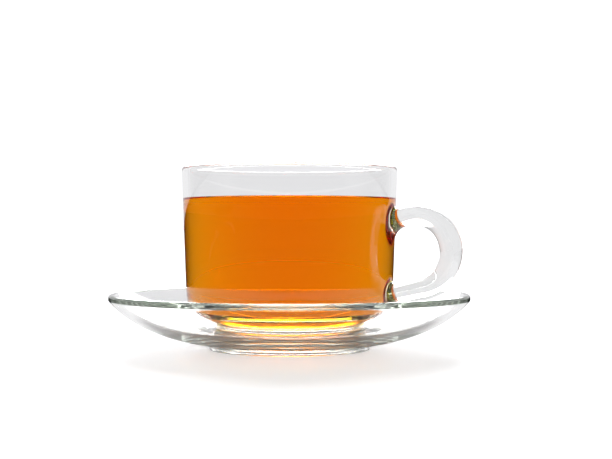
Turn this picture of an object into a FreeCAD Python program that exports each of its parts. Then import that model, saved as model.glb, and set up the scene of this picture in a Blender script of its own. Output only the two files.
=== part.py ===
import FreeCAD, Part
import math
import os
import re

import Sketcher

# A glass cup of tea on its glass saucer, in millimetres with +Z up.  The origin is where
# the saucer's axis meets the table, and the handle points along +X.
#
# Three separate pieces: the saucer, the cup with its handle in one piece of glass, and the
# tea, a solid up to its level.  Every size below can be changed by itself.

SIZES = {
    # saucer: a foot ring, a flat well for the cup's foot, and a wall that bends up to the lip
    "saucerDiameter": 140.0,
    "saucerHeight": 21.6,
    "saucerLip": 2.2,
    "saucerLipRound": 1.0,
    "saucerWall": 3.0,
    "saucerRimWidth": 16.0,
    "saucerBendHeight": 7.8,
    "saucerBendSlope": 23.4,
    "saucerFootDiameter": 63.0,
    "saucerFootHeight": 2.0,
    "saucerFootWidth": 4.5,
    "saucerFootRound": 0.7,
    "saucerBase": 3.9,
    "wellClearance": 3.0,
    "wellLedge": 0.5,
    # cup, its heights measured from the foot that stands in the well
    "cupHeight": 64.9,
    "cupMouthDiameter": 84.0,
    "cupBodyDiameter": 80.4,
    "cupWall": 2.7,
    "cupLipRound": 1.2,
    "cupHeelHeight": 16.7,
    "cupHeelRadius": 13.4,
    "cupFootDiameter": 59.0,
    "cupFootWidth": 4.0,
    "cupFootRound": 0.8,
    "cupRecess": 2.6,
    "cupBase": 4.8,
    "cupInnerCorner": 11.5,
    # handle, one piece of glass with the cup
    "handleReach": 68.0,
    "handleHeight": 46.2,
    "handleBend": 13.8,
    "handleRise": 14.0,
    "handleSlope": 12.0,
    "handleThick": 8.0,
    "handleWidth": 11.0,
    "handleRootRound": 2.5,
    # tea, from the cup's floor up to its level
    "teaDepth": 44.7,
}

CUP_FLOOR = "cupRecess + cupBase"
WELL_FLOOR = "saucerFootHeight + saucerBase"
BEND_RADIUS = "saucerDiameter / 2 - saucerRimWidth"
WALL_INSIDE = "cupBodyDiameter / 2 - cupWall"
# the handle starts inside the wall, and the cut that hollows the cup trims it flush
HANDLE_START = WALL_INSIDE + " - handleThick / 2"
BEND_ACROSS = "handleReach - handleThick / 2 - handleBend"
ROOT_HEIGHT = (
    "handleHeight - handleBend + handleBend / cos(handleRise * 1 deg)"
    " - (%s - (%s)) * tan(handleRise * 1 deg)" % (BEND_ACROSS, HANDLE_START)
)
# how near an edge lies to the circle that it is looked up by
NEAR = 0.05

# the sketcher's numbers for the ends and the centre of a piece of geometry, and for its axes
START, END, CENTRE = 1, 2, 3
LEVEL_AXIS, UPRIGHT_AXIS = -1, -2

doc = FreeCAD.newDocument("glassCupOfTea")
sheet = doc.addObject("Spreadsheet::Sheet", "sizes")
for row, (alias, value) in enumerate(SIZES.items(), start=1):
    sheet.set("A%d" % row, alias)
    sheet.set("B%d" % row, str(value))
    sheet.setAlias("B%d" % row, alias)
doc.recompute()


def bound(expression):
    """The expression with each size read from the sheet."""
    return re.sub(r"[A-Za-z]\w+", lambda m: "sizes." + m[0] if m[0] in SIZES else m[0], expression)


def size(expression):
    """What an expression of sizes comes to, as a number."""
    numbers = re.sub(r"[A-Za-z]\w+", lambda m: str(sheet.get(m[0])), expression)
    return FreeCAD.Units.Quantity(numbers).Value


def newBody(name):
    body = doc.addObject("PartDesign::Body", name)
    body.Label = name
    return body


def newSketch(body, name, role="XZ_Plane"):
    plane = next(f for f in body.Origin.OriginFeatures if f.Role == role)
    sketch = body.newObject("Sketcher::SketchObject", name)
    sketch.AttachmentSupport = [(plane, "")]
    sketch.MapMode = "FlatFace"
    return sketch


def drive(sketch, constraint, expression):
    """Adds a dimension and ties it to the sheet."""
    index = sketch.addConstraint(constraint)
    sketch.setExpression("Constraints[%d]" % index, bound(expression))


def pin(sketch, piece, end, across=None, up=None):
    """Holds an end of a piece at a distance from the axis and at a height."""
    point = sketch.getPoint(piece, end)
    if across == "0":
        sketch.addConstraint(Sketcher.Constraint("PointOnObject", piece, end, UPRIGHT_AXIS))
    elif across:
        place = Sketcher.Constraint("DistanceX", LEVEL_AXIS, START, piece, end, point.x)
        drive(sketch, place, across)
    if up == "0":
        sketch.addConstraint(Sketcher.Constraint("PointOnObject", piece, end, LEVEL_AXIS))
    elif up:
        place = Sketcher.Constraint("DistanceY", LEVEL_AXIS, START, piece, end, point.y)
        drive(sketch, place, up)


def addLine(sketch, start, end, guide=False):
    ends = [FreeCAD.Vector(x, y, 0) for x, y in (start, end)]
    return sketch.addGeometry(Part.LineSegment(ends[0], ends[1]), guide)


def addArc(sketch, centre, radius, fromAngle, toAngle):
    """An arc, anticlockwise between two angles in degrees."""
    circle = Part.Circle(FreeCAD.Vector(centre[0], centre[1], 0), FreeCAD.Vector(0, 0, 1), radius)
    arc = Part.ArcOfCircle(circle, math.radians(fromAngle), math.radians(toAngle))
    return sketch.addGeometry(arc, False)


def join(sketch, piece, end, other, otherEnd, smooth=False):
    """Joins two ends, with one direction through the joint where it is smooth."""
    kind = "Tangent" if smooth else "Coincident"
    sketch.addConstraint(Sketcher.Constraint(kind, piece, end, other, otherEnd))


def addChain(sketch, corners):
    """Lines through corners that are pairs of expressions, each corner pinned where it is given."""
    spots = [(size(across), size(up)) for across, up in corners]
    lines = [addLine(sketch, a, b) for a, b in zip(spots, spots[1:])]
    for line, nextLine in zip(lines, lines[1:]):
        join(sketch, line, END, nextLine, START)
    for line, (across, up) in zip(lines, corners):
        pin(sketch, line, START, across, up)
    pin(sketch, lines[-1], END, *corners[-1])
    return lines


def revolve(body, sketch, name, kind="Revolution"):
    feature = body.newObject("PartDesign::" + kind, name)
    feature.Profile = sketch
    feature.ReferenceAxis = (sketch, ["V_Axis"])
    feature.Angle = 360.0
    doc.recompute()
    return feature


def circlesAt(shape, across, up):
    """Names of the edges that run round the axis at this radius and height."""
    found = []
    for number, edge in enumerate(shape.Edges, start=1):
        spots = [edge.valueAt(t) for t in (edge.FirstParameter, edge.LastParameter)]
        spots.append(edge.valueAt((edge.FirstParameter + edge.LastParameter) / 2))
        if all(abs(math.hypot(p.x, p.y) - across) < NEAR and abs(p.z - up) < NEAR for p in spots):
            found.append("Edge%d" % number)
    return found


def roundEdges(body, name, edges, radius):
    base = body.Tip
    feature = body.newObject("PartDesign::Fillet", name)
    feature.Base = (base, edges)
    feature.Radius = size(radius)
    feature.setExpression("Radius", bound(radius))
    doc.recompute()
    return feature


# ---------------------------------------------------------------- saucer


def buildSaucer():
    """Foot ring and base, then an outer and an inner wall of two arcs each.  All four arcs
    have their centres on one line across the wall at the bend, so each pair runs smoothly."""
    body = newBody("saucer")
    sketch = newSketch(body, "saucerProfile")
    footInside = "saucerFootDiameter / 2 - saucerFootWidth"
    footOutside = "saucerFootDiameter / 2"
    wellEdge = "cupFootDiameter / 2 + wellClearance"
    foot = addChain(sketch, [
        ("0", "saucerFootHeight"),
        (footInside, "saucerFootHeight"),
        (footInside, "0"),
        (footOutside, "0"),
        (footOutside, "saucerFootHeight"),
    ])
    lip = addChain(sketch, [
        ("saucerDiameter / 2", "saucerHeight - saucerLip"),
        ("saucerDiameter / 2", "saucerHeight"),
        ("saucerDiameter / 2 - saucerLip", "saucerHeight"),
    ])
    well = addChain(sketch, [
        (wellEdge, WELL_FLOOR + " + wellLedge"),
        (wellEdge, WELL_FLOOR),
        ("0", WELL_FLOOR),
    ])
    slope = math.radians(size("saucerBendSlope"))
    outer = (size(BEND_RADIUS), size("saucerBendHeight"))
    wall = size("saucerWall")
    inner = (outer[0] - wall * math.sin(slope), outer[1] + wall * math.cos(slope))
    bend = addLine(sketch, outer, inner, guide=True)
    pin(sketch, bend, START, BEND_RADIUS, "saucerBendHeight")
    drive(sketch, Sketcher.Constraint("Distance", bend, wall), "saucerWall")
    tilt = Sketcher.Constraint("Angle", bend, math.pi / 2 + slope)
    drive(sketch, tilt, "(90 + saucerBendSlope) * 1 deg")

    def wallArc(far, near, end, piece, pieceEnd):
        """The arc between the bend and an end of another piece, centred on the bend's line."""
        across, up = far[0] - near[0], far[1] - near[1]
        lean = 2 * (up * math.cos(slope) - across * math.sin(slope))
        reach = (across ** 2 + up ** 2) / lean
        centre = (near[0] - reach * math.sin(slope), near[1] + reach * math.cos(slope))
        angles = [math.degrees(math.atan2(p[1] - centre[1], p[0] - centre[0])) for p in (near, far)]
        nearEnd, farEnd = (START, END) if angles[0] < angles[1] else (END, START)
        arc = addArc(sketch, centre, abs(reach), min(angles), max(angles))
        join(sketch, arc, nearEnd, bend, end)
        join(sketch, arc, farEnd, piece, pieceEnd)
        sketch.addConstraint(Sketcher.Constraint("PointOnObject", arc, CENTRE, bend))

    def spot(piece, end):
        point = sketch.getPoint(piece, end)
        return point.x, point.y

    wallArc(spot(foot[-1], END), outer, START, foot[-1], END)
    wallArc(spot(lip[0], START), outer, START, lip[0], START)
    wallArc(spot(lip[-1], END), inner, END, lip[-1], END)
    wallArc(spot(well[0], START), inner, END, well[0], START)
    axis = addLine(sketch, spot(well[-1], END), spot(foot[0], START))
    join(sketch, well[-1], END, axis, START)
    join(sketch, axis, END, foot[0], START)
    doc.recompute()

    solid = revolve(body, sketch, "saucerBlank")
    lipEdges = circlesAt(solid.Shape, size("saucerDiameter / 2"), size("saucerHeight"))
    lipEdges += circlesAt(solid.Shape, size("saucerDiameter / 2 - saucerLip"), size("saucerHeight"))
    solid = roundEdges(body, "saucerLipRounding", lipEdges, "saucerLipRound")
    footEdges = circlesAt(solid.Shape, size(footInside), 0.0)
    footEdges += circlesAt(solid.Shape, size(footOutside), 0.0)
    roundEdges(body, "saucerFootRounding", footEdges, "saucerFootRound")
    return body


# ---------------------------------------------------------------- cup and tea


def drawInside(sketch, top):
    """The outline of the cup's inside up to a height: floor, round corner and leaning wall."""
    guide = addLine(
        sketch,
        (size(WALL_INSIDE), size("cupHeelHeight")),
        (size("cupMouthDiameter / 2 - cupWall"), size("cupHeight")),
        guide=True,
    )
    pin(sketch, guide, START, WALL_INSIDE, "cupHeelHeight")
    pin(sketch, guide, END, "cupMouthDiameter / 2 - cupWall", "cupHeight")
    corner = size("cupInnerCorner")
    floor = size(CUP_FLOOR)
    side = size(WALL_INSIDE)
    floorLine = addLine(sketch, (0, floor), (side - corner, floor))
    arc = addArc(sketch, (side - corner, floor + corner), corner, 270, 360)
    wallLine = addLine(sketch, (side, floor + corner), (side, size(top)))
    topLine = addLine(sketch, (side, size(top)), (0, size(top)))
    axis = addLine(sketch, (0, size(top)), (0, floor))
    join(sketch, floorLine, END, arc, START, smooth=True)
    join(sketch, arc, END, wallLine, START, smooth=True)
    join(sketch, wallLine, END, topLine, START)
    join(sketch, topLine, END, axis, START)
    join(sketch, axis, END, floorLine, START)
    pin(sketch, floorLine, START, "0", CUP_FLOOR)
    sketch.addConstraint(Sketcher.Constraint("Horizontal", floorLine))
    sketch.addConstraint(Sketcher.Constraint("Horizontal", topLine))
    drive(sketch, Sketcher.Constraint("Radius", arc, corner), "cupInnerCorner")
    sketch.addConstraint(Sketcher.Constraint("PointOnObject", wallLine, START, guide))
    sketch.addConstraint(Sketcher.Constraint("PointOnObject", wallLine, END, guide))
    pin(sketch, topLine, END, "0", top)
    doc.recompute()


def drawOutside(sketch):
    """Recess, foot, rounded heel that runs smoothly into the wall, and wall."""
    footInside = "cupFootDiameter / 2 - cupFootWidth"
    foot = addChain(sketch, [
        ("0", "cupRecess"),
        (footInside, "cupRecess"),
        (footInside, "0"),
        ("cupFootDiameter / 2", "0"),
    ])
    heel = size("cupHeelRadius")
    body = size("cupBodyDiameter / 2")
    step = size("cupFootDiameter / 2")
    drop = math.acos((heel - body + step) / heel)
    centre = (body - heel, size("cupHeelHeight"))
    footTop = centre[1] - heel * math.sin(drop)
    footWall = addLine(sketch, (step, 0), (step, footTop))
    arc = addArc(sketch, centre, heel, -math.degrees(drop), 0)
    mouth = (size("cupMouthDiameter / 2"), size("cupHeight"))
    walls = addLine(sketch, (body, centre[1]), mouth)
    topLine = addLine(sketch, mouth, (0, mouth[1]))
    axis = addLine(sketch, (0, mouth[1]), (0, size("cupRecess")))
    join(sketch, foot[-1], END, footWall, START)
    join(sketch, footWall, END, arc, START)
    join(sketch, arc, END, walls, START, smooth=True)
    join(sketch, walls, END, topLine, START)
    join(sketch, topLine, END, axis, START)
    join(sketch, axis, END, foot[0], START)
    sketch.addConstraint(Sketcher.Constraint("Vertical", footWall))
    drive(sketch, Sketcher.Constraint("Radius", arc, heel), "cupHeelRadius")
    pin(sketch, walls, START, "cupBodyDiameter / 2", "cupHeelHeight")
    pin(sketch, topLine, START, "cupMouthDiameter / 2", "cupHeight")
    pin(sketch, topLine, END, "0", "cupHeight")
    doc.recompute()


def addHandle(body):
    """An oval glass bar that rises from the wall, runs round a bend and slopes back to the wall."""
    path = newSketch(body, "handlePath")
    root = size(HANDLE_START)
    bend = size("handleBend")
    rise = size("handleRise")
    slope = size("handleSlope")
    centre = (size(BEND_ACROSS), size("handleHeight") - bend)

    def leave(angle, lean):
        """Where the bend ends at an angle, and where a straight bar from there meets the root."""
        turn = math.radians(angle)
        spot = (centre[0] + bend * math.cos(turn), centre[1] + bend * math.sin(turn))
        return spot, (root, spot[1] - (spot[0] - root) * math.tan(math.radians(lean)))

    high, start = leave(90 + rise, rise)
    low, end = leave(slope - 90, slope)
    upper = addLine(path, start, high)
    arc = addArc(path, centre, bend, slope - 90, 90 + rise)
    lower = addLine(path, low, end)
    join(path, upper, END, arc, END, smooth=True)
    join(path, arc, START, lower, START, smooth=True)
    drive(path, Sketcher.Constraint("Radius", arc, bend), "handleBend")
    pin(path, arc, CENTRE, BEND_ACROSS, "handleHeight - handleBend")
    pin(path, upper, START, HANDLE_START)
    climb = Sketcher.Constraint("Angle", upper, math.radians(rise))
    drive(path, climb, "handleRise * 1 deg")
    pin(path, lower, END, HANDLE_START)
    lean = Sketcher.Constraint("Angle", lower, math.radians(180 + slope))
    drive(path, lean, "(180 + handleSlope) * 1 deg")

    section = newSketch(body, "handleSection", "YZ_Plane")
    section.setExpression("AttachmentOffset.Base.z", bound(HANDLE_START))
    middle = FreeCAD.Vector(0, start[1], 0)
    oval = section.addGeometry(Part.Ellipse(middle, size("handleWidth / 2"), size("handleThick / 2")))
    section.exposeInternalGeometry(oval)
    wide, thick = oval + 1, oval + 2
    section.addConstraint(Sketcher.Constraint("Horizontal", wide))
    drive(section, Sketcher.Constraint("Distance", wide, size("handleWidth")), "handleWidth")
    upright = Sketcher.Constraint("Distance", thick, size("handleThick"))
    drive(section, upright, "handleThick / cos(handleRise * 1 deg)")
    pin(section, oval, CENTRE, "0", ROOT_HEIGHT)
    doc.recompute()

    bar = body.newObject("PartDesign::AdditivePipe", "handleBar")
    bar.Profile = section
    bar.Spine = path
    doc.recompute()
    return bar


def rootEdges(shape):
    """Names of the closed edges where the handle's bar meets the cup's wall."""
    found = []
    for number, edge in enumerate(shape.Edges, start=1):
        box = edge.BoundBox
        outside = box.XMin > size(WALL_INSIDE) and box.XMax < size("cupMouthDiameter / 2 + cupWall")
        if outside and box.YLength > size("handleThick / 2"):
            found.append("Edge%d" % number)
    return found


def buildCup():
    body = newBody("cup")
    outside = newSketch(body, "cupProfile")
    drawOutside(outside)
    revolve(body, outside, "cupBlank")
    bar = addHandle(body)
    roundEdges(body, "handleRoots", rootEdges(bar.Shape), "handleRootRound")
    inside = newSketch(body, "cupInside")
    drawInside(inside, "cupHeight")
    solid = revolve(body, inside, "cupHollow", "Groove")
    rim = size("cupHeight")
    lip = circlesAt(solid.Shape, size("cupMouthDiameter / 2"), rim)
    lip += circlesAt(solid.Shape, size("cupMouthDiameter / 2 - cupWall"), rim)
    solid = roundEdges(body, "cupLipRounding", lip, "cupLipRound")
    foot = circlesAt(solid.Shape, size("cupFootDiameter / 2"), 0.0)
    foot += circlesAt(solid.Shape, size("cupFootDiameter / 2 - cupFootWidth"), 0.0)
    roundEdges(body, "cupFootRounding", foot, "cupFootRound")
    return body


def buildTea():
    body = newBody("tea")
    profile = newSketch(body, "teaProfile")
    drawInside(profile, CUP_FLOOR + " + teaDepth")
    revolve(body, profile, "teaFill")
    return body


saucer = buildSaucer()
cup = buildCup()
tea = buildTea()
for standing in (cup, tea):
    standing.setExpression("Placement.Base.z", bound(WELL_FLOOR))
doc.recompute()

for thing in doc.Objects:
    if any(word in thing.State for word in ("Invalid", "Error")):
        raise RuntimeError(thing.Name + " failed: " + str(thing.State))
os.makedirs("parts", exist_ok=True)
for piece in (saucer, cup, tea):
    shape = piece.Shape
    if shape.isNull() or not shape.isValid():
        raise RuntimeError(piece.Label + " has no valid shape")
    shape.exportStep("parts/" + piece.Label + ".step")
    print(piece.Label, "volume", round(shape.Volume / 1000, 1), "ml", shape.BoundBox)
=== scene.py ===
import math
import bmesh
import bpy
import numpy as np
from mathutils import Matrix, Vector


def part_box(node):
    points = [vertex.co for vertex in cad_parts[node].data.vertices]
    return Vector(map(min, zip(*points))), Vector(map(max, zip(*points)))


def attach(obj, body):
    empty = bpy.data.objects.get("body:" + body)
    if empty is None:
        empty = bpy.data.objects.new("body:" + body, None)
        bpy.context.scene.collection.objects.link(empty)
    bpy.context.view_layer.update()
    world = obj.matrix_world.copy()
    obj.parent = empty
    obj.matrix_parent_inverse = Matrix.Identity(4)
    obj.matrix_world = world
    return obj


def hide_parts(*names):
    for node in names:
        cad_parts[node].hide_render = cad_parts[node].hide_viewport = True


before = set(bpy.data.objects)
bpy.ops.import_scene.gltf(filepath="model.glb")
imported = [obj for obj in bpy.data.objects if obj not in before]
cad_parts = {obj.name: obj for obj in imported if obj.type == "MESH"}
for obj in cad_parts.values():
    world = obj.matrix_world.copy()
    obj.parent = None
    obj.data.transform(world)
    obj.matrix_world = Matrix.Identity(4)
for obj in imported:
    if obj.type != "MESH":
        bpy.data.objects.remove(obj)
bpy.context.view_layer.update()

mm = 0.001         # outlines and shapes are in millimetres, meshes in metres
roundSteps = 288   # steps round the axis of the cup, the saucer and the tea


def inMillimetres(corner):
    return [value / mm for value in corner]


saucerHigh = inMillimetres(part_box("saucer")[1])
cupLow, cupHigh = map(inMillimetres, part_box("cup"))
teaHigh = inMillimetres(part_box("tea")[1])


# outlines: rows of (distance from the axis, height)

def line(start, end, spacing=1.0):
    # straight run: the start plus an even share of the way to the end
    steps = max(2, round(math.dist(start, end) / spacing))
    share = np.linspace(0, 1, steps + 1)[:, None]
    return np.array(start) * (1 - share) + np.array(end) * share


def arc(centre, radius, fromDeg, toDeg, spacing=0.6):
    # circle: the centre plus the radius times the cosine and sine of an evenly growing angle
    steps = max(4, round(abs(math.radians(toDeg - fromDeg)) * radius / spacing))
    angle = np.radians(np.linspace(fromDeg, toDeg, steps + 1))
    return np.array(centre) + radius * np.stack([np.cos(angle), np.sin(angle)], axis=1)


def arcFromSlope(near, slopeDeg, far, spacing=0.8):
    # the one circle that leaves a point at a slope and passes through another point: its radius is
    # the squared distance between them over twice how far the second lies off the sloping line
    sine, cosine = math.sin(math.radians(slopeDeg)), math.cos(math.radians(slopeDeg))
    across, up = far[0] - near[0], far[1] - near[1]
    radius = (across ** 2 + up ** 2) / (2 * (up * cosine - across * sine))
    centre = (near[0] - radius * sine, near[1] + radius * cosine)
    ends = [math.degrees(math.atan2(p[1] - centre[1], p[0] - centre[0])) for p in (near, far)]
    return arc(centre, abs(radius), *ends, spacing)


def softened(first, second, radius):
    # fillet: both runs are cut back by the radius times the tangent of half the turn between
    # them, and a circle of that radius joins the cut ends
    if radius == 0:
        return np.vstack([first[:-1], second])
    margin = 1.05   # drops a point that would crowd the end of the circle
    corner = first[-1]
    into = (corner - first[-2]) / np.linalg.norm(corner - first[-2])
    out = (second[1] - corner) / np.linalg.norm(second[1] - corner)
    turn = math.atan2(into[0] * out[1] - into[1] * out[0], into @ out)
    cut = radius * math.tan(abs(turn) / 2)
    centre = corner - into * cut + math.copysign(radius, turn) * np.array([-into[1], into[0]])
    fromDeg = math.degrees(math.atan2(*((corner - into * cut - centre)[::-1])))
    bend = arc(centre, radius, fromDeg, fromDeg + math.degrees(turn), spacing=0.2)
    before = first[np.linalg.norm(first - corner, axis=1) > cut * margin]
    after = second[np.linalg.norm(second - corner, axis=1) > cut * margin]
    return np.vstack([before, bend, after])


def outlineOf(runs, radii):
    # the runs joined end to end, with one corner radius for each joint
    outline = runs[0]
    for run, radius in zip(runs[1:], radii):
        outline = softened(outline, run, radius)
    return outline


def lines(corners, spacing=1.0):
    return [line(a, b, spacing) for a, b in zip(corners, corners[1:])]


# meshes

def turned(outline):
    # surface of revolution: the distance times cosine and sine of the angle round the axis, and
    # the height; the first and last rows lie on the axis and give one point each
    angle = np.linspace(0, 2 * np.pi, roundSteps, endpoint=False)
    across, up = outline[1:-1, :1], outline[1:-1, 1:]
    rings = np.stack([across * np.cos(angle), across * np.sin(angle), up + 0 * angle], axis=-1)
    poles = np.array([[0, 0, outline[0, 1]], [0, 0, outline[-1, 1]]])
    return rings, poles


def strip(first, second):
    # quads between two closed loops of point numbers
    return np.stack([first, np.roll(first, -1), np.roll(second, -1), second], axis=-1).reshape(-1, 4)


def fan(pole, loop):
    # triangles from a closed loop of point numbers to one point
    return np.stack([np.full(len(loop), pole), np.roll(loop, -1), loop], axis=-1)


def numbered(rings):
    # a number for each point of the rings, and triangles that close both ends with the next two
    number = np.arange(len(rings) * roundSteps).reshape(len(rings), roundSteps)
    ends = np.concatenate([fan(number.size, number[0]), fan(number.size + 1, number[-1][::-1])])
    return number, ends


def meshPiece(name, points, quads, triangles):
    # points in millimetres; unused points are dropped, and all faces are turned outwards
    used, numbers = np.unique(np.concatenate([quads.ravel(), triangles.ravel()]), return_inverse=True)
    quads, triangles = numbers[:quads.size].reshape(-1, 4), numbers[quads.size:].reshape(-1, 3)
    mesh = bpy.data.meshes.new(name)
    mesh.from_pydata((points[used] * mm).tolist(), [], quads.tolist() + triangles.tolist())
    shell = bmesh.new()
    shell.from_mesh(mesh)
    bmesh.ops.recalc_face_normals(shell, faces=shell.faces)
    if shell.calc_volume(signed=True) < 0:
        bmesh.ops.reverse_faces(shell, faces=shell.faces)
    openEdges = sum(not edge.is_manifold for edge in shell.edges)
    print(name, "holds", round(shell.calc_volume() * 1e6, 1), "ml,", openEdges, "open edges")
    shell.to_mesh(mesh)
    shell.free()
    mesh.shade_smooth()
    piece = bpy.data.objects.new(name, mesh)
    bpy.context.scene.collection.objects.link(piece)
    return piece


def turnedPiece(name, outline):
    rings, poles = turned(outline)
    number, ends = numbered(rings)
    quads = np.concatenate([strip(a, b) for a, b in zip(number, number[1:])])
    return meshPiece(name, np.vstack([rings.reshape(-1, 3), poles]), quads, ends)


def markFaces(piece, isMarked):
    # a mark of 1 on the faces that a rule picks by their distance from the axis and height
    centres = np.zeros(len(piece.data.polygons) * 3, np.float32)
    piece.data.polygons.foreach_get("center", centres)
    x, y, height = centres.reshape(-1, 3).T / mm
    mark = piece.data.attributes.new("wet", "FLOAT", "FACE")
    mark.data.foreach_set("value", isMarked(np.hypot(x, y), height).astype(np.float32))


# materials

def calc(tree, operation, *values):
    # a Math node whose inputs are numbers or other nodes' outputs
    node = tree.nodes.new("ShaderNodeMath")
    node.operation = operation
    for socket, value in zip(node.inputs, values):
        if hasattr(value, "is_linked"):
            tree.links.new(value, socket)
        else:
            socket.default_value = value
    return node.outputs["Value"]


def makeRipple():
    # the slow waves that pressing leaves in glass: smooth noise, which Stretch can draw out
    group = bpy.data.node_groups.new("pressedRipple", "ShaderNodeTree")
    for name, kind, way in (("Scale", "Float", "INPUT"), ("Stretch", "Vector", "INPUT"),
                            ("Height", "Float", "OUTPUT")):
        group.interface.new_socket(name=name, in_out=way, socket_type="NodeSocket" + kind)
    nodes, links = group.nodes, group.links
    given, result = nodes.new("NodeGroupInput"), nodes.new("NodeGroupOutput")
    place = nodes.new("ShaderNodeTexCoord")
    stretch = nodes.new("ShaderNodeVectorMath")
    stretch.operation = "MULTIPLY"
    waves = nodes.new("ShaderNodeTexNoise")
    waves.inputs["Detail"].default_value = 1.5
    waves.inputs["Roughness"].default_value = 0.35
    links.new(place.outputs["Object"], stretch.inputs[0])
    links.new(given.outputs["Stretch"], stretch.inputs[1])
    links.new(stretch.outputs["Vector"], waves.inputs["Vector"])
    links.new(given.outputs["Scale"], waves.inputs["Scale"])
    links.new(waves.outputs["Fac"], result.inputs["Height"])
    return group


ripple = makeRipple()


def clearMaterial(look):
    # a clear body: its surface bends light by the index, and its depth takes colour from it
    material = bpy.data.materials.new(look["name"])
    material.use_nodes = True
    nodes, links = material.node_tree.nodes, material.node_tree.links
    shader = nodes["Principled BSDF"]
    shader.inputs["Base Color"].default_value = (1, 1, 1, 1)
    shader.inputs["Roughness"].default_value = 0.0
    shader.inputs["Metallic"].default_value = 0.0
    shader.inputs["Transmission Weight"].default_value = 1.0
    shader.inputs["IOR"].default_value = look["index"]
    if "wetIndex" in look:   # marked faces take the other index
        mark = nodes.new("ShaderNodeAttribute")
        mark.attribute_name = "wet"
        index = nodes.new("ShaderNodeMapRange")
        index.inputs["To Min"].default_value = look["index"]
        index.inputs["To Max"].default_value = look["wetIndex"]
        links.new(mark.outputs["Fac"], index.inputs["Value"])
        links.new(index.outputs["Result"], shader.inputs["IOR"])
    waves = nodes.new("ShaderNodeGroup")
    waves.node_tree = ripple
    waves.inputs["Scale"].default_value = look["rippleScale"]
    waves.inputs["Stretch"].default_value = look["rippleStretch"]
    bump = nodes.new("ShaderNodeBump")
    bump.inputs["Distance"].default_value = look["rippleDepth"]
    links.new(waves.outputs["Height"], bump.inputs["Height"])
    links.new(bump.outputs["Normal"], shader.inputs["Normal"])
    depth = nodes.new("ShaderNodeVolumeAbsorption")
    depth.inputs["Color"].default_value = (*look["keeps"], 1)
    depth.inputs["Density"].default_value = look["density"]
    links.new(depth.outputs["Volume"], nodes["Material Output"].inputs["Volume"])
    return material


cupGlass = {
    "name": "cupGlass",
    "index": 1.5,
    "wetIndex": 1.5 / 1.333,         # where tea wets the glass, only their ratio bends light
    "keeps": (0.70, 0.80, 0.66),     # colour that its depth keeps
    "density": 7.0,                  # how fast the rest goes, per metre
    "rippleScale": 60.0, "rippleStretch": (1.0, 1.0, 0.35), "rippleDepth": 0.00001,
}
saucerGlass = {
    "name": "saucerGlass",
    "index": 1.5,
    "keeps": (0.70, 0.80, 0.66),
    "density": 7.0,
    "rippleScale": 45.0, "rippleStretch": (1.0, 1.0, 1.0), "rippleDepth": 0.00001,
}
amberTea = {
    "name": "amberTea",
    "index": 1.0,                    # inside the wall the tea's own skin bends nothing
    "wetIndex": 1.333,               # its open surface does
    "keeps": (0.996, 0.911, 0.0),
    "density": 250.0,
    "rippleScale": 30.0, "rippleStretch": (1.0, 1.0, 1.0), "rippleDepth": 0.0,   # it lies still
}


# saucer

saucerShape = {
    "wall": 3.0,
    "rimWidth": 16.0, "bendHeight": 7.8, "bendSlope": 23.4,   # where its underside turns up
    "lip": 2.2, "lipRound": 1.0, "lipUnder": 0.6, "lipSpacing": 0.4,
    "footRadius": 31.5, "footWidth": 4.5, "footHeight": 2.0, "footRound": 0.7,
    "base": 3.9, "wellRadius": 32.5, "wellLedge": 0.5, "wellRound": 0.35,
}


def makeSaucer():
    shape = saucerShape
    rim, top, slope = saucerHigh[0], saucerHigh[2], shape["bendSlope"]
    foot, footHeight = shape["footRadius"], shape["footHeight"]
    hollow = foot - shape["footWidth"]
    wellFloor = footHeight + shape["base"]
    lean = math.radians(slope)
    under = (rim - shape["rimWidth"], shape["bendHeight"])
    over = (under[0] - shape["wall"] * math.sin(lean), under[1] + shape["wall"] * math.cos(lean))
    footRuns = lines([(0, footHeight), (hollow, footHeight), (hollow, 0), (foot, 0), (foot, footHeight)])
    lip = lines([(rim, top - shape["lip"]), (rim, top), (rim - shape["lip"], top)], shape["lipSpacing"])
    well = lines([(shape["wellRadius"], wellFloor + shape["wellLedge"]),
                  (shape["wellRadius"], wellFloor), (0, wellFloor)])
    # both walls are two arcs that meet at the bend with the same slope
    wallUnder = np.vstack([arcFromSlope(under, slope, footRuns[-1][-1])[:0:-1],
                           arcFromSlope(under, slope, lip[0][0])])
    wallOver = np.vstack([arcFromSlope(over, slope, lip[-1][-1])[:0:-1],
                          arcFromSlope(over, slope, well[0][0])])
    radii = [shape["footRound"]] * 4 + [shape["lipUnder"]]
    radii += [shape["lipRound"]] * 2 + [shape["wellRound"]] * 2
    piece = turnedPiece("saucerGlass", outlineOf([*footRuns, wallUnder, *lip, wallOver, *well], radii))
    piece.data.materials.append(clearMaterial(saucerGlass))
    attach(piece, "root")
    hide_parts("saucer")


# cup and handle

cupShape = {
    "bodyRadius": 40.2, "wall": 2.7,
    "lipRound": 1.2, "lipSpacing": 0.4, "lipClear": 2.0,   # the handle's wall stops that far below the lip
    "heelHeight": 16.7, "heelRadius": 13.4,                # the round between the foot and the wall
    "footRadius": 29.5, "footWidth": 4.0, "footRound": 0.8, "recess": 2.6,
    "base": 4.8, "innerCorner": 11.5,
    "meniscus": 0.9,                                       # how far the tea climbs the glass
    "markMargin": (0.3, 0.5),                              # slack at the wall and floor, for the wet mark
}
handleShape = {
    "height": 46.2, "bend": 13.8, "rise": 14.0, "slope": 12.0,   # the arch of its middle line
    "thick": (7.2, 8.6, 7.4), "width": (10.4, 11.4, 11.0),       # upper root, far side, lower root
    "fillet": (3.6, 3.0), "web": 5.5,                            # at each root, more under the upper one
    "straight": 0.85,                                            # share of the bar a fillet may take
    "patches": ((12, 15), (15, 12)),                             # half a root, in steps of the wall's grid
    "barRings": (8, 12), "bendRings": 61, "wallRings": 7, "filletRings": 9,
}


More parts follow.
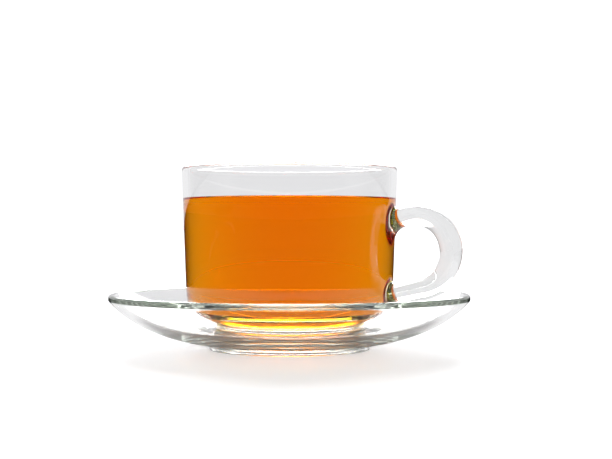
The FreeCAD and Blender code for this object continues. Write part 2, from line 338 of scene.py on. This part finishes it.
def wallOutline():
    # the cup's inside from the lip to the axis, with a row where the tea's edge touches the glass
    floor = cupLow[2] + cupShape["recess"] + cupShape["base"]
    heel = cupLow[2] + cupShape["heelHeight"]
    mouth, body = cupHigh[1] - cupShape["wall"], cupShape["bodyRadius"] - cupShape["wall"]

    def wallAt(height):
        return body + (mouth - body) * (height - heel) / (cupHigh[2] - heel)

    corner = cupShape["innerCorner"]
    side = floor + corner
    edge = teaHigh[2] + cupShape["meniscus"]
    bottom = wallAt(side)
    return {
        "floor": floor, "edge": edge, "wallAt": wallAt,
        "dry": line((mouth, cupHigh[2]), (wallAt(edge), edge)),
        "wet": line((wallAt(edge), edge), (bottom, side)),
        "corner": arc((bottom - corner, side), corner, 0, -90),
        "base": line((bottom - corner, floor), (0, floor)),
    }


inner = wallOutline()


def cupOutline():
    # the whole section, and the part of it that is outer wall, from the heel to below the lip
    shape, table = cupShape, cupLow[2]
    foot, heelRadius = shape["footRadius"], shape["heelRadius"]
    hollow, recess = foot - shape["footWidth"], table + shape["recess"]
    drop = math.degrees(math.acos((heelRadius - shape["bodyRadius"] + foot) / heelRadius))
    heelCentre = (shape["bodyRadius"] - heelRadius, table + shape["heelHeight"])
    heel = arc(heelCentre, heelRadius, -drop, 0, spacing=1.0)
    footRuns = lines([(0, recess), (hollow, recess), (hollow, table), (foot, table), tuple(heel[0])])
    mouth = (cupHigh[1], cupHigh[2])
    outside = np.vstack([heel, line(heel[-1], mouth)[1:]])
    lip = line(mouth, inner["dry"][0], shape["lipSpacing"])
    runs = [*footRuns, outside, lip, inner["dry"], inner["wet"], inner["corner"], inner["base"]]
    outline = outlineOf(runs, [shape["footRound"]] * 4 + [shape["lipRound"]] * 2 + [0] * 3)
    rows = outline[1:-1]
    belowLip = (mouth[0], mouth[1] - shape["lipClear"])
    first, last = (int(np.argmin(np.linalg.norm(rows - spot, axis=1))) for spot in (heel[1], belowLip))
    return outline, rows[first:last + 1], first


def middleLine():
    # the handle's middle in the plane y = 0: a rising bar, a round bend and a bar sloping back
    shape = handleShape
    centre = np.array([cupHigh[0] - shape["thick"][1] / 2 - shape["bend"],
                       cupLow[2] + shape["height"] - shape["bend"]])
    turn = np.radians(np.linspace(90 + shape["rise"], shape["slope"] - 90, shape["bendRings"]))
    away = np.stack([np.cos(turn), np.sin(turn)], axis=1)
    return centre + shape["bend"] * away, away


def handleRing(spot, away, share, angle):
    # oval across the middle line: half the width times the cosine of the angle along y, half the
    # thickness times its sine away from the bend
    thick, width = (np.interp(share, [0, 0.5, 1], handleShape[key]) for key in ("thick", "width"))
    offset = thick / 2 * np.sin(angle)
    return np.stack([spot[0] + away[0] * offset, width / 2 * np.cos(angle), spot[1] + away[1] * offset],
                    axis=-1)


def patchLoop(end):
    # grid steps round and up of the points round a root's patch, anticlockwise from its lower left,
    # and the angle of each seen from the middle
    wide, tall = handleShape["patches"][end]
    across = np.concatenate([np.arange(-wide, wide), np.full(2 * tall, wide),
                             np.arange(wide, -wide, -1), np.full(2 * tall, -wide)])
    up = np.concatenate([np.full(2 * wide, -tall), np.arange(-tall, tall),
                         np.full(2 * wide, tall), np.arange(tall, -tall, -1)])
    return across, up, np.unwrap(np.arctan2(up / tall, across / wide))


def slidToWall(ring, ahead, outer):
    # each point of a ring goes back along the bar until it meets the wall's radius at its height
    tries = 12
    meet = ring.copy()
    for _ in range(tries):
        radius = np.interp(meet[:, 2], outer[:, 1], outer[:, 0])
        back = (meet[:, 0] - np.sqrt(radius ** 2 - meet[:, 1] ** 2)) / ahead[0]
        meet[:, 0] -= back * ahead[0]
        meet[:, 2] -= back * ahead[1]
    return meet


def handleRoot(end, spot, side, outer):
    # rings from the patch in the wall to where the bend starts, with the patch's middle row
    shape, upper = handleShape, end == 0
    upright = 1 if upper else -1
    across, up, around = patchLoop(end)
    along = np.concatenate([[0], np.cumsum(np.linalg.norm(np.diff(outer, axis=0), axis=1))])

    def onWall(angle, way):
        # wall: its radius at a way up it, times cosine and sine of the angle, and its height there
        radius = np.interp(way, along, outer[:, 0])
        height = np.interp(way, along, outer[:, 1])
        return np.stack([radius * np.cos(angle), radius * np.sin(angle), height], axis=-1)

    ahead = np.array([side[1], -side[0]]) * upright      # along the bar, away from the cup
    ring = handleRing(spot, side, 0.0 if upper else 1.0, around)
    meet = slidToWall(ring, ahead, outer)
    angle = np.arctan2(meet[:, 1], meet[:, 0])
    way = np.interp(meet[:, 2], outer[:, 1], along)
    radius = np.interp(meet[:, 2], outer[:, 1], outer[:, 0])
    middle = (way.max() + way.min()) / 2
    row = int(np.argmin(abs(along - middle)))

    # the fillet starts on the wall, its size outwards from where the bar would meet it
    web = shape["web"] if upper else 0
    fillet = shape["fillet"][end] + web * np.clip(-np.sin(around), 0, 1) ** 2
    outwards = np.stack([radius * angle, way - middle], axis=-1)
    outwards /= np.linalg.norm(outwards, axis=1)[:, None]
    startAngle = angle + fillet * outwards[:, 0] / radius
    startWay = way + fillet * outwards[:, 1]
    start = onWall(startAngle, startWay)
    reach = np.minimum(fillet, shape["straight"] * np.linalg.norm(ring - meet, axis=1))
    finish = meet + reach[:, None] * np.array([ahead[0], 0, ahead[1]])

    # on the wall the rings change evenly from the patch's rectangle to the fillet's start
    rectAngle = across * 2 * np.pi / roundSteps
    rectWay = along[row + up * upright]
    share = np.linspace(0, 1, shape["wallRings"])[1:-1, None]
    flat = onWall(rectAngle + (startAngle - rectAngle) * share, rectWay + (startWay - rectWay) * share)
    # fillet: a parabola that leaves the wall towards the corner and runs on along the bar
    share = np.linspace(0, 1, shape["filletRings"])[:, None, None]
    curve = (1 - share) ** 2 * start + 2 * share * (1 - share) * meet + share ** 2 * finish
    share = np.linspace(0, 1, shape["barRings"][end])[1:-1, None, None]
    bar = finish + (ring - finish) * share
    return np.concatenate([flat, curve, bar]), row, up * upright, across % roundSteps


def makeCup():
    outline, outer, first = cupOutline()
    rings, poles = turned(outline)
    number, ends = numbered(rings)
    quads = np.stack([strip(a, b) for a, b in zip(number, number[1:])])
    keep = np.ones(quads.shape[:2], bool)

    spots, away = middleLine()
    roots, seams = [], []
    for end in (0, -1):   # the upper root, then the lower
        loops, row, up, across = handleRoot(end, spots[end], away[end], outer)
        roots.append(loops)
        seams.append(number[first + row + up, across])
        wide, tall = handleShape["patches"][end]
        low, high = first + row - tall, first + row + tall
        keep[low:high, :wide] = False
        keep[low:high, -wide:] = False
    upperTurn, lowerTurn = (patchLoop(end)[2] for end in (0, -1))
    bend = np.stack([handleRing(spot, side, share, upperTurn + (lowerTurn - upperTurn) * share)
                     for spot, side, share in zip(spots, away, np.linspace(0, 1, len(spots)))])
    loops = np.concatenate([roots[0], bend, roots[1][::-1]])

    # the wall without the patches, and the handle between their edges
    firstNumber = number.size + len(poles)
    loopNumbers = firstNumber + np.arange(loops.shape[0] * loops.shape[1]).reshape(loops.shape[:2])
    chain = np.concatenate([seams[0][None], loopNumbers, seams[1][None]])
    quads = np.concatenate([quads[keep]] + [strip(a, b) for a, b in zip(chain, chain[1:])])
    points = np.vstack([rings.reshape(-1, 3), poles, loops.reshape(-1, 3)])
    piece = meshPiece("cupGlass", points, quads, ends)

    def isWet(distance, height):
        wallMargin, floorMargin = cupShape["markMargin"]
        inside = distance < inner["wallAt"](height) + wallMargin
        return inside & (height > inner["floor"] - floorMargin) & (height < inner["edge"])

    markFaces(piece, isWet)
    piece.data.materials.append(clearMaterial(cupGlass))
    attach(piece, "root")
    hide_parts("cup")


# tea

teaShape = {
    "overlap": 0.12,                 # how far it reaches into the wall
    "climb": 1.6,                    # distance in which the rise of its edge falls to a third
    "edgeWidth": 6.0, "edgeSteps": 40, "openSteps": (8, 12, 20, 30),   # rows in from the wall
    "markMargin": 0.01,
}


def makeTea():
    shape, overlap = teaShape, teaShape["overlap"]
    wet, corner = inner["wet"], inner["corner"]
    level, edge, below = teaHigh[2], inner["edge"], inner["floor"] - overlap
    turn = np.linspace(0, 1, len(corner))[:, None] * np.pi / 2
    skin = np.vstack([
        line((0, below), (corner[-1, 0], below))[:-1],
        (corner + overlap * np.hstack([np.cos(turn), -np.sin(turn)]))[::-1],
        (wet + np.array([overlap, 0]))[:-1][::-1],
    ])
    # the surface climbs the glass: its height falls off exponentially away from the wall
    away = np.concatenate([np.linspace(0, shape["edgeWidth"], shape["edgeSteps"]), shape["openSteps"]])
    height = level + (edge - level) * np.exp(-away / shape["climb"])
    surface = np.stack([wet[0, 0] - away, height], axis=1)
    piece = turnedPiece("teaFill", np.vstack([skin, surface, [[0, level]]]))

    def isOpen(distance, height):
        return (distance < wet[0, 0]) & (height > level - shape["markMargin"])

    markFaces(piece, isOpen)
    piece.data.materials.append(clearMaterial(amberTea))
    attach(piece, "root")
    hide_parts("tea")


makeSaucer()
print("saucer turned")
makeCup()
print("cup and handle made")
makeTea()
print("tea poured")


# stage, light and camera

viewShape = {                   # metres and degrees, lens in millimetres
    "azimuth": 18.0, "distance": 0.488, "height": 0.0466, "turn": 0.75,
    "lens": 73.5, "sensor": 36.0, "near": 0.01,
}
stageShape = {
    "reach": 40.0,
    "paper": (0.7, 0.7, 0.7),   # part of the lamps' light that the milky table top throws back
    "roughness": 0.7,
    "glow": 0.08,               # light that comes up through it, as the glass sees it
    "paintedLift": 0.56,               # painted light: extra glow seen only directly, which lifts the shadows so that open floor stays white
    "mirrored": 0.12,           # metres within which a reflection still shows the lit floor; farther off it shows a painted dark reflection
}
lightShape = {
    "tint": (0.985, 0.98, 1.0),
    "bounces": 64,          # light runs round inside the rims many times
    "backdrop": 0.89,       # brightness of the wall behind the cup, level with the eye
    "direct": 1.1,          # least brightness of what is seen directly, so that bare walls stay white
    "sides": 0.25,          # brightness of the walls at the sides
    "sideInner": 28.0,      # degrees from the middle of the back wall to where it starts to fade
    "sideOuter": 75.0,
    "ceiling": 0.15,        # brightness overhead
    "ceilingRise": (8.0, 60.0),   # degrees over which the walls pass into it
    "softbox": 20.0,        # brightness of the soft lamp behind the cup, above what the camera sees
    "softboxRise": 28.0,    # degrees that its centre stands above the table
    "softboxInner": 12.0,   # degrees from its centre to where it starts to fade
    "softboxOuter": 24.0,
    "softboxClear": (11.0, 16.0),   # degrees above the table over which it comes in
    "room": 0.01,           # the unlit room behind the viewer, and below the table
    "roomInner": 62.0,      # degrees from the viewer's direction to where the room starts to fade
    "roomOuter": 76.0,
    "roomRise": (30.0, 20.0),   # degrees above the table over which it comes in
    "belowSine": (-0.002, -0.015),  # and for what is below the table, as sines of the angle
}


def makeStage():
    reach = stageShape["reach"]
    mesh = bpy.data.meshes.new("paper")
    corners = [(-reach, -reach, 0), (reach, -reach, 0), (reach, reach, 0), (-reach, reach, 0)]
    mesh.from_pydata(corners, [], [(0, 1, 2, 3)])
    floor = bpy.data.objects.new("paper", mesh)
    bpy.context.scene.collection.objects.link(floor)
    mesh.materials.append(paperMaterial())


def paperMaterial():
    # a milky lit top; seen directly it takes painted light that lifts its shadows, and glass that mirrors
    # it from afar gets a painted dark reflection, as dark as the room, instead of the lit floor
    material = bpy.data.materials.new("palePaper")
    material.use_nodes = True
    tree = material.node_tree
    nodes, links = tree.nodes, tree.links
    shader = nodes["Principled BSDF"]
    shader.inputs["Base Color"].default_value = (*stageShape["paper"], 1)
    shader.inputs["Roughness"].default_value = stageShape["roughness"]
    shader.inputs["Specular IOR Level"].default_value = 0.0
    shader.inputs["Emission Color"].default_value = (1, 1, 1, 1)
    path = nodes.new("ShaderNodeLightPath")
    seen, glossy = path.outputs["Is Camera Ray"], path.outputs["Is Glossy Ray"]
    through = path.outputs["Is Transmission Ray"]
    # painted light: seen directly, the top glows brighter by the lift, which whitens its shadows
    glow = calc(tree, "MULTIPLY_ADD", seen, stageShape["paintedLift"], stageShape["glow"])
    links.new(glow, shader.inputs["Emission Strength"])
    # painted reflection: far glossy rays see a dark sheet, as dark as the room, instead of the lit floor
    paintedDarkReflection, either = nodes.new("ShaderNodeEmission"), nodes.new("ShaderNodeMixShader")
    paintedDarkReflection.inputs["Strength"].default_value = lightShape["room"]
    mirrored = calc(tree, "GREATER_THAN", glossy, through)
    far = calc(tree, "GREATER_THAN", path.outputs["Ray Length"], stageShape["mirrored"])
    links.new(calc(tree, "MULTIPLY", mirrored, far), either.inputs["Fac"])
    links.new(shader.outputs["BSDF"], either.inputs[1])
    links.new(paintedDarkReflection.outputs["Emission"], either.inputs[2])
    links.new(either.outputs["Shader"], nodes["Material Output"].inputs["Surface"])
    return material


def makeLight():
    world = bpy.data.worlds.new("studio")
    bpy.context.scene.world = world
    world.use_nodes = True
    tree = world.node_tree
    nodes, links = tree.nodes, tree.links
    where = nodes.new("ShaderNodeTexCoord").outputs["Generated"]

    def fade(value, low, high):
        node = nodes.new("ShaderNodeMapRange")
        node.interpolation_type = "SMOOTHSTEP"
        node.inputs["From Min"].default_value = low
        node.inputs["From Max"].default_value = high
        links.new(value, node.inputs["Value"])
        return node.outputs["Result"]

    def nearness(azimuthDeg, riseDeg):
        # cosine of the angle between where one looks and a direction given by azimuth and rise
        azimuth, rise = math.radians(azimuthDeg), math.radians(riseDeg)
        dot = nodes.new("ShaderNodeVectorMath")
        dot.operation = "DOT_PRODUCT"
        dot.inputs[1].default_value = (math.sin(azimuth) * math.cos(rise),
                                       -math.cos(azimuth) * math.cos(rise), math.sin(rise))
        links.new(where, dot.inputs[0])
        return dot.outputs["Value"]

    def around(azimuthDeg, riseDeg, name):
        # 1 near a direction, fading out between two angles from it
        outer, inside = (math.cos(math.radians(lightShape[name + end])) for end in ("Outer", "Inner"))
        return fade(nearness(azimuthDeg, riseDeg), outer, inside)

    height = nearness(0, 90)

    def rising(name):
        # 0 to 1 between two heights above the table, given as angles
        low, high = (math.sin(math.radians(degrees)) for degrees in lightShape[name])
        return fade(height, low, high)

    shape, viewer = lightShape, viewShape["azimuth"]
    walls = calc(tree, "MULTIPLY_ADD", around(viewer + 180, 0, "side"), shape["backdrop"] - shape["sides"],
                 shape["sides"])
    overhead = rising("ceilingRise")
    level = calc(tree, "MULTIPLY", walls, calc(tree, "SUBTRACT", 1, overhead))
    lit = calc(tree, "MULTIPLY_ADD", overhead, shape["ceiling"], level)
    lamp = around(viewer + 180, shape["softboxRise"], "softbox")
    box = calc(tree, "MULTIPLY", lamp, rising("softboxClear"))
    lit = calc(tree, "MULTIPLY_ADD", box, shape["softbox"], lit)
    room = calc(tree, "MULTIPLY", around(viewer, 0, "room"), rising("roomRise"))
    dark = calc(tree, "MAXIMUM", room, fade(height, *shape["belowSine"]))
    bright = calc(tree, "MULTIPLY_ADD", dark, shape["room"] - 1, 1)
    seen = nodes.new("ShaderNodeLightPath").outputs["Is Camera Ray"]
    direct = calc(tree, "MULTIPLY", seen, shape["direct"])
    strength = calc(tree, "MAXIMUM", direct, calc(tree, "MULTIPLY", lit, bright))
    links.new(strength, nodes["Background"].inputs["Strength"])
    nodes["Background"].inputs["Color"].default_value = (*shape["tint"], 1)
    bpy.context.scene.cycles.max_bounces = shape["bounces"]
    bpy.context.scene.cycles.transmission_bounces = shape["bounces"]
    bpy.context.scene.cycles.glossy_bounces = shape["bounces"]


def makeCamera():
    view = viewShape
    camera = bpy.data.cameras.new("camera")
    holder = bpy.data.objects.new("camera", camera)
    bpy.context.scene.collection.objects.link(holder)
    azimuth, distance = math.radians(view["azimuth"]), view["distance"]
    holder.location = (math.sin(azimuth) * distance, -math.cos(azimuth) * distance, view["height"])
    holder.rotation_euler = (math.pi / 2, 0, azimuth - math.radians(view["turn"]))
    camera.sensor_width = view["sensor"]
    camera.lens = view["lens"]
    camera.clip_start = view["near"]
    bpy.context.scene.camera = holder


makeStage()
makeLight()
makeCamera()
bpy.context.scene.view_settings.view_transform = "Standard"
print("stage, light and camera set")
